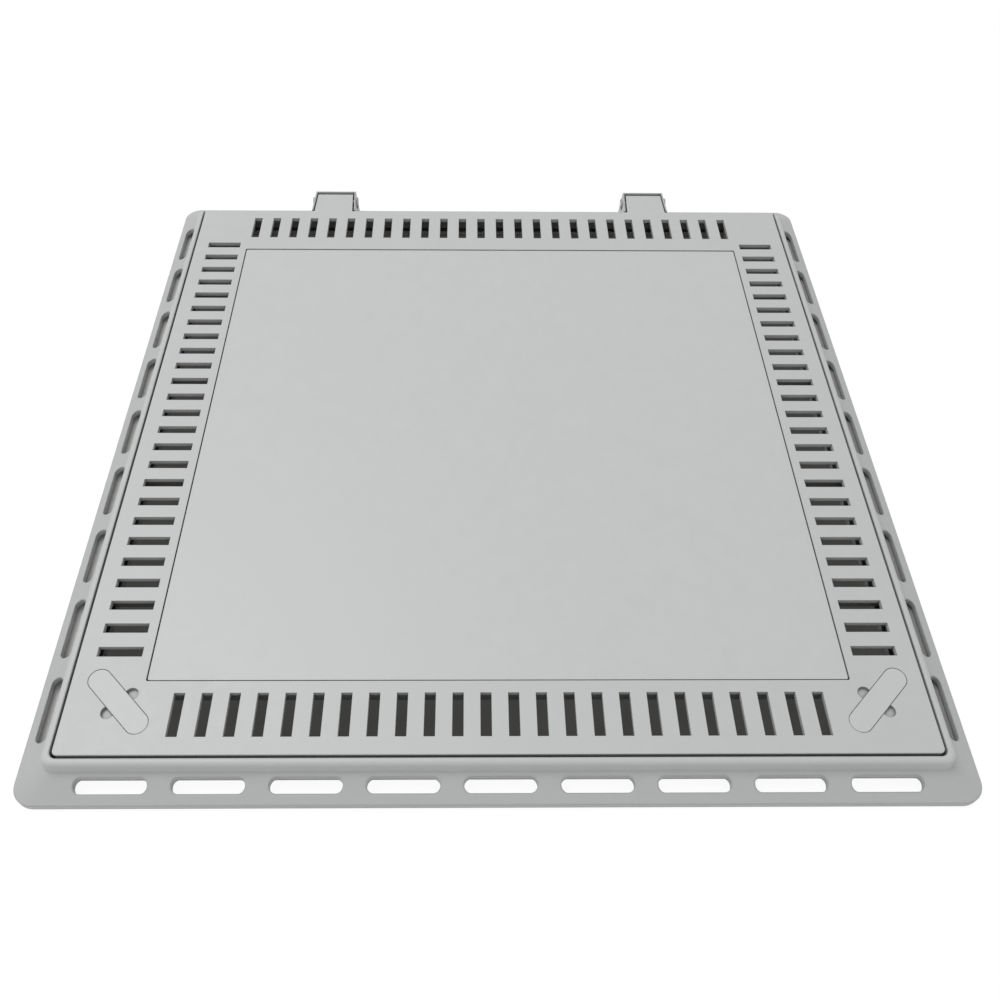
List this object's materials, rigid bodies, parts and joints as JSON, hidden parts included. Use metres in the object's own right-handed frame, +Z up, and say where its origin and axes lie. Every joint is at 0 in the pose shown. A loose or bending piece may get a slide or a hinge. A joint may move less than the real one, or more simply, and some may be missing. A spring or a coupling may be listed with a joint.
{
  "type": "hinged access cover",
  "caption": "Square vented access cover: a flanged frame round a clear opening, a lid on pinned hinge arms, and cam locks under flush plugs in the front corners.",
  "frame": {"origin": "centre of the clear opening, on the plane that the frame stands on", "axes": "+X to the right seen from the lock side, +Y from the locks to the hinges, +Z up through the lid"},
  "size_m": [0.6768, 0.6858, 0.025],
  "materials": {
    "moulded_composite": "as-moulded light grey glass-fibre composite, satin",
    "stainless_steel": "stainless, dull",
    "acetal": "natural acetal, satin",
    "epdm": "black rubber, matt"
  },
  "bodies": {
    "frame": {"frame": "moulded_composite", "seat_gasket": "epdm", "hinge_pin_left": "stainless_steel", "hinge_pin_right": "stainless_steel", "hinge_clip_left": "stainless_steel", "hinge_clip_right": "stainless_steel"},
    "lid": {"lid": "moulded_composite", "centre_panel": "moulded_composite", "panel_screws": "stainless_steel", "hinge_bush_left": "acetal", "hinge_bush_right": "acetal", "plug_seal_left": "epdm", "plug_seal_right": "epdm", "lock_bush_left": "acetal", "lock_bush_right": "acetal"},
    "lock_left": {"lock_spindle_left": "stainless_steel", "lock_cam_left": "stainless_steel", "lock_washer_left": "stainless_steel", "lock_nut_left": "stainless_steel"},
    "lock_right": {"lock_spindle_right": "stainless_steel", "lock_cam_right": "stainless_steel", "lock_washer_right": "stainless_steel", "lock_nut_right": "stainless_steel"},
    "plug_left": {"lock_plug_left": "moulded_composite"},
    "plug_right": {"lock_plug_right": "moulded_composite"}
  },
  "joints": [
    {"name": "lid_hinge", "type": "hinge", "parent": "frame", "child": "lid", "pos_m": [0, 0.335, 0.018], "axis": [-1, 0, 0], "range_deg": [0, 103]},
    {"name": "lock_left_turn", "type": "hinge", "parent": "lid", "child": "lock_left", "pos_m": [-0.2562, -0.2863, 0.013], "axis": [0, 0, 1], "range_deg": [0, 90]},
    {"name": "lock_right_turn", "type": "hinge", "parent": "lid", "child": "lock_right", "pos_m": [0.2562, -0.2863, 0.013], "axis": [0, 0, -1], "range_deg": [0, 90]},
    {"name": "plug_left_lift", "type": "slide", "parent": "lid", "child": "plug_left", "axis": [0, 0, 1], "range_m": [0, 0.04]},
    {"name": "plug_right_lift", "type": "slide", "parent": "lid", "child": "plug_right", "axis": [0, 0, 1], "range_m": [0, 0.04]}
  ]
}
